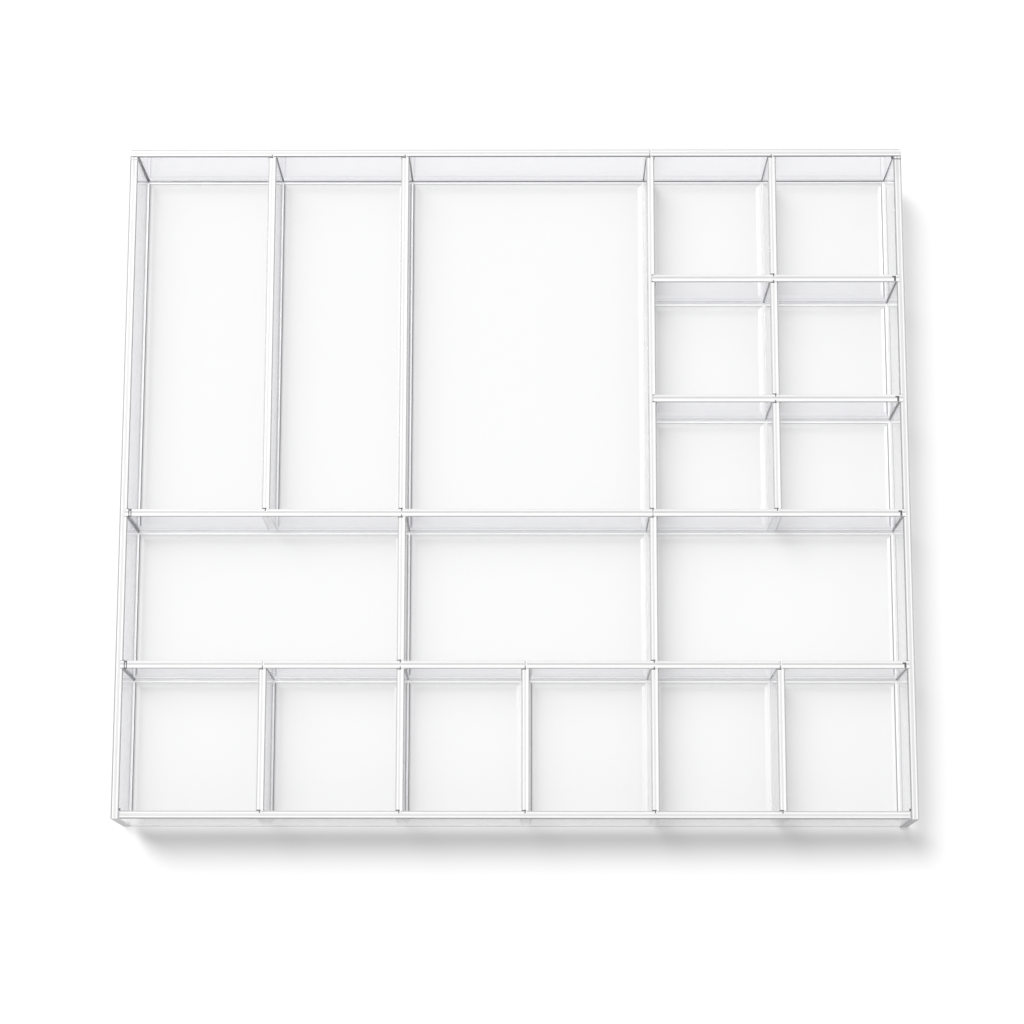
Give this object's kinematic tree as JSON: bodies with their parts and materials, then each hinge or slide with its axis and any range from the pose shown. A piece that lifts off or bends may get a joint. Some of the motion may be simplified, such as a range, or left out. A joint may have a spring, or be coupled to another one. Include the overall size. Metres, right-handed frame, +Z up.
{
  "type": "drawer organizer insert",
  "caption": "Shallow rectangular tray of clear acrylic sheet with fixed half-lapped dividers that make long, large, wide and small open compartments.",
  "frame": {"origin": "middle of the underside, on the surface it rests on", "axes": "+X to the right along the longest side, +Y from the front row of small compartments to the rear wall, +Z up out of the open top"},
  "size_m": [0.4, 0.347, 0.045],
  "materials": {
    "base": "clear polished acrylic sheet",
    "outer_wall": "clear polished acrylic sheet, flame-polished edges",
    "divider": "clear polished acrylic sheet, flame-polished edges"
  },
  "bodies": {
    "root": {"base_panel": "base", "rear_wall": "outer_wall", "front_wall": "outer_wall", "left_side_wall": "outer_wall", "right_side_wall": "outer_wall", "middle_cross_divider": "divider", "front_cross_divider": "divider", "rear_small_cross_divider": "divider", "front_small_cross_divider": "divider", "left_full_depth_divider": "divider", "right_full_depth_divider": "divider", "rear_left_divider": "divider", "rear_right_divider": "divider", "front_left_divider": "divider", "front_centre_divider": "divider", "front_right_divider": "divider"}
  },
  "joints": []
}
